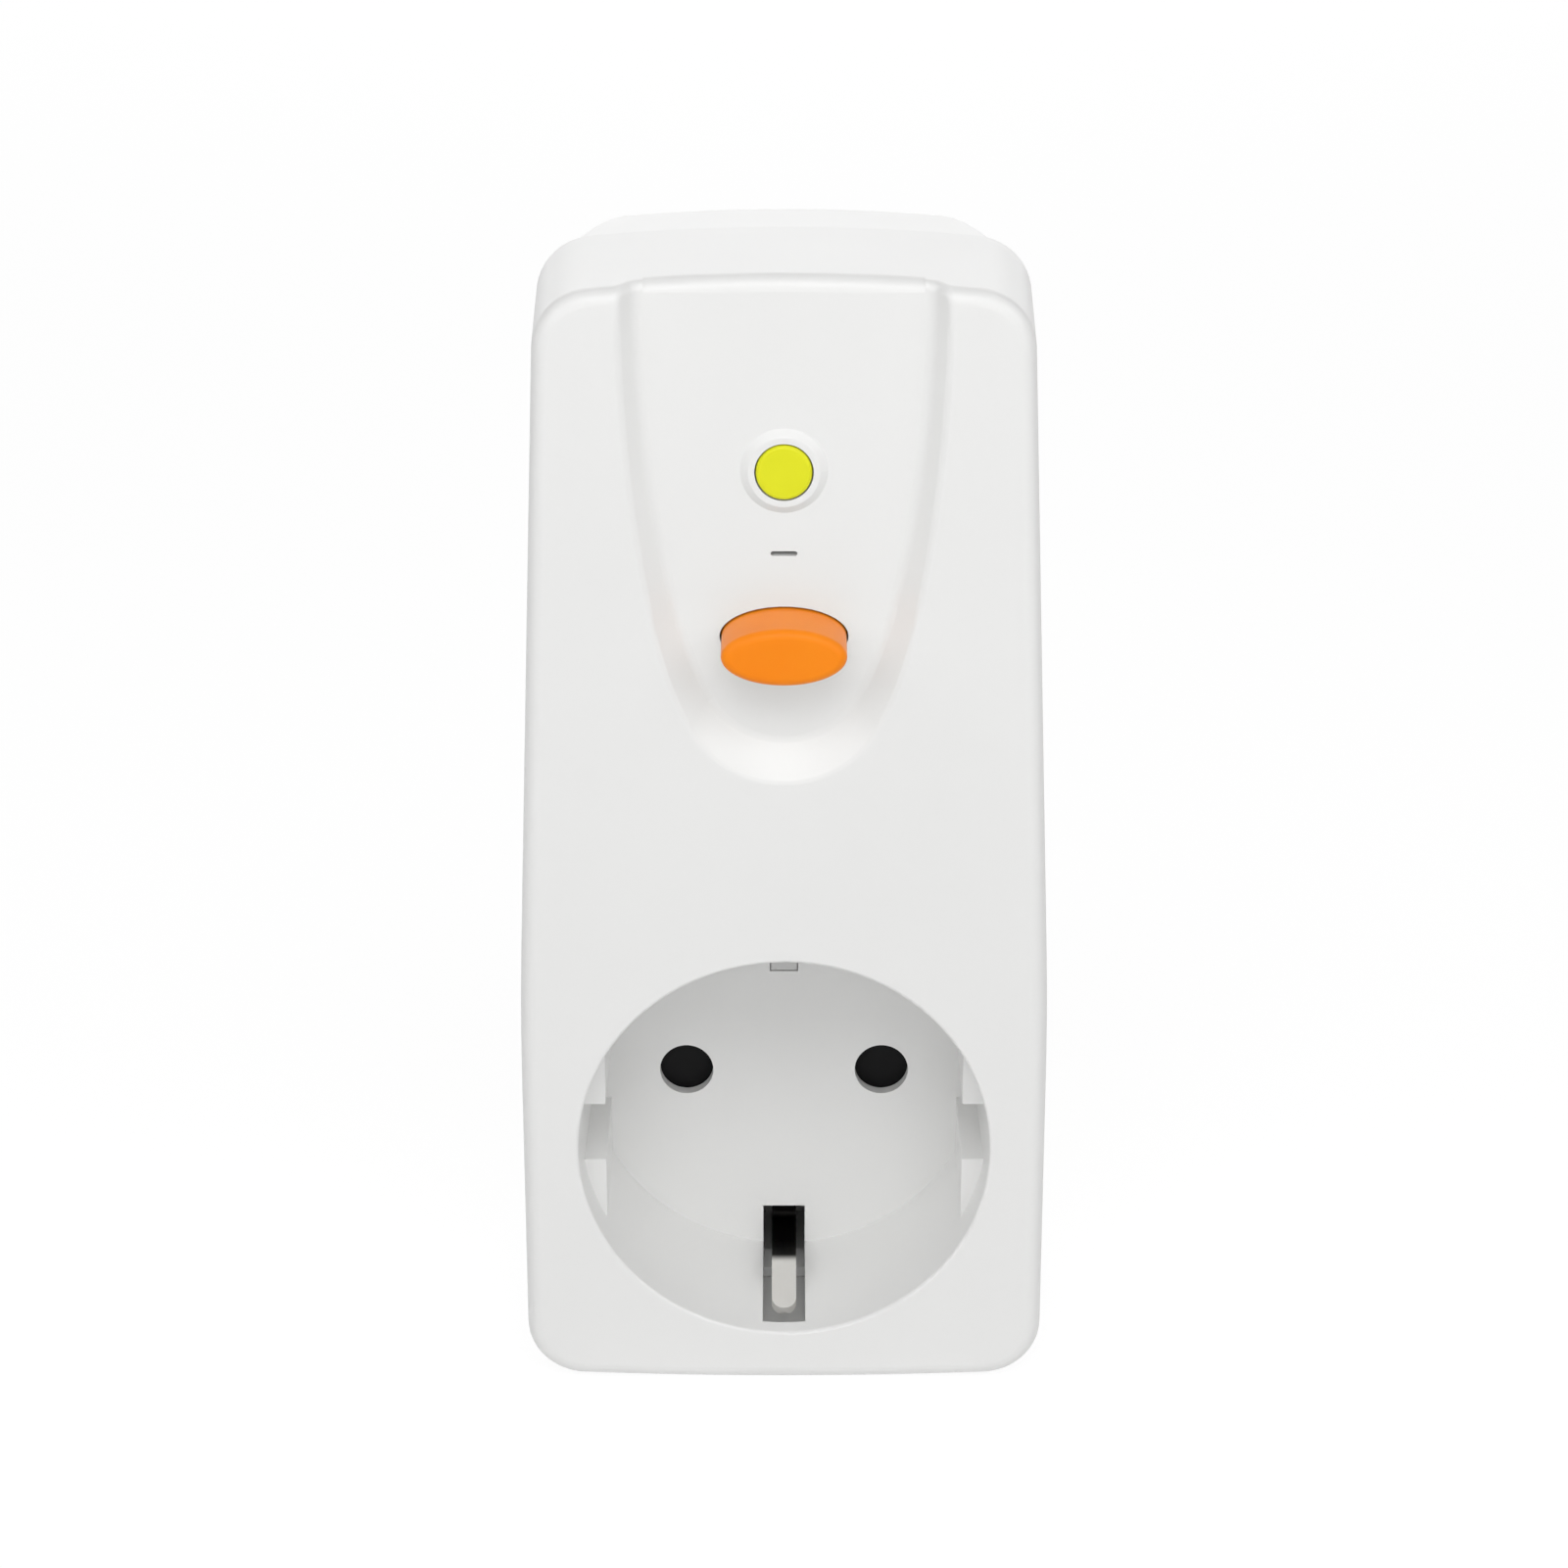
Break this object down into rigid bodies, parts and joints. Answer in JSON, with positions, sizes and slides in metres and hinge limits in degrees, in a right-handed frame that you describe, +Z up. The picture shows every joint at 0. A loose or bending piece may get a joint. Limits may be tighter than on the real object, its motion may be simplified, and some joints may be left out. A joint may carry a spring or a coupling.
{
  "type": "rcd adapter plug",
  "caption": "Plug-in residual-current adapter: round earthed socket in front, pins behind, test and reset buttons on a sunken tongue panel.",
  "frame": {"origin": "on the axis of the plug and the socket, at the flat back face that lies against the wall plate", "axes": "+X to the right seen from the front, +Y into the wall along the pins, +Z up towards the buttons"},
  "size_m": [0.0498, 0.0732, 0.1084],
  "materials": {
    "white_abs": "fine satin moulding",
    "nickel_brass": "nickel plated",
    "bare_brass": "drawn",
    "grey_plastic": "matte",
    "dark_plastic": "matte",
    "pale_plastic": "matte",
    "spring_steel": "drawn wire",
    "yellow_plastic": "satin",
    "orange_plastic": "satin",
    "silver": "silver alloy",
    "board_laminate": "glass laminate with solder mask",
    "zinc_steel": "zinc plated",
    "ferrite": "coated core",
    "copper_winding": "enamelled copper",
    "brown_insulation": "cable insulation",
    "blue_insulation": "cable insulation",
    "resistor_body": "lacquered",
    "varistor_coat": "epoxy coat",
    "capacitor_case": "moulded case"
  },
  "bodies": {
    "housing": {"front_cover": "white_abs", "back_cover": "white_abs", "line_plug_pin": "nickel_brass", "neutral_plug_pin": "nickel_brass", "plug_earth_clips": "nickel_brass", "socket_earth_bracket": "nickel_brass", "earth_rivets": "bare_brass", "line_socket_contact": "bare_brass", "neutral_socket_contact": "bare_brass", "contact_block": "grey_plastic", "shutter_carrier": "pale_plastic", "shutter_spring": "spring_steel", "fixed_contacts": "bare_brass", "switch_frame": "grey_plastic", "reset_spring": "spring_steel", "circuit_board": "board_laminate", "board_screws": "zinc_steel", "housing_screws": "zinc_steel", "toroid_core": "ferrite", "toroid_winding": "copper_winding", "transformer_cradle": "dark_plastic", "line_load_lead": "brown_insulation", "neutral_load_lead": "blue_insulation", "line_supply_lead": "brown_insulation", "neutral_supply_lead": "blue_insulation", "test_leaf_spring": "spring_steel", "test_contact_post": "bare_brass", "test_resistor": "resistor_body", "latch_pin": "zinc_steel", "latch_bracket": "grey_plastic", "coil_bobbin": "dark_plastic", "coil_winding": "copper_winding", "magnet_yoke": "zinc_steel", "pole_piece": "zinc_steel", "trip_spring": "spring_steel", "varistor": "varistor_coat", "film_capacitor": "capacitor_case", "trip_chip": "dark_plastic", "thyristor": "dark_plastic"},
    "test": {"test_button": "yellow_plastic"},
    "reset": {"reset_button": "orange_plastic", "contact_carriage": "dark_plastic", "line_contact_bridge": "bare_brass", "neutral_contact_bridge": "bare_brass", "moving_contact_rivets": "silver"},
    "flag": {"state_flag": "dark_plastic"},
    "shutter_plate": {"shutter": "dark_plastic"},
    "plunger": {"trip_plunger": "zinc_steel"},
    "lever": {"latch_lever": "zinc_steel"}
  },
  "joints": [
    {"name": "test_press", "type": "slide", "parent": "housing", "child": "test", "axis": [0, 1, 0], "range_m": [0, 0.0012], "stiffness_N_per_m": 500, "deforming": ["test_leaf_spring"]},
    {"name": "reset_press", "type": "slide", "parent": "housing", "child": "reset", "axis": [0, 1, 0], "range_m": [0, 0.0045], "stiffness_N_per_m": 400, "deforming": ["reset_spring"]},
    {"name": "flag_slide", "type": "slide", "parent": "housing", "child": "flag", "axis": [-1, 0, 0], "range_m": [0, 0.003]},
    {"name": "shutter_slide", "type": "slide", "parent": "housing", "child": "shutter_plate", "axis": [0, 0, -1], "range_m": [0, 0.006], "stiffness_N_per_m": 60, "deforming": ["shutter_spring"]},
    {"name": "plunger_slide", "type": "slide", "parent": "housing", "child": "plunger", "axis": [0, 0, 1], "range_m": [0, 0.0012], "stiffness_N_per_m": 80, "deforming": ["trip_spring"]},
    {"name": "lever_pivot", "type": "hinge", "parent": "housing", "child": "lever", "pos_m": [0, -0.0166, 0.0602], "axis": [1, 0, 0], "range_deg": [0, 15]}
  ],
  "couplings": [
    {"joint": "flag_slide", "follows": "reset_press", "ratio": 0.66667},
    {"joint": "lever_pivot", "follows": "plunger_slide", "rad_per_m": 217.4}
  ]
}
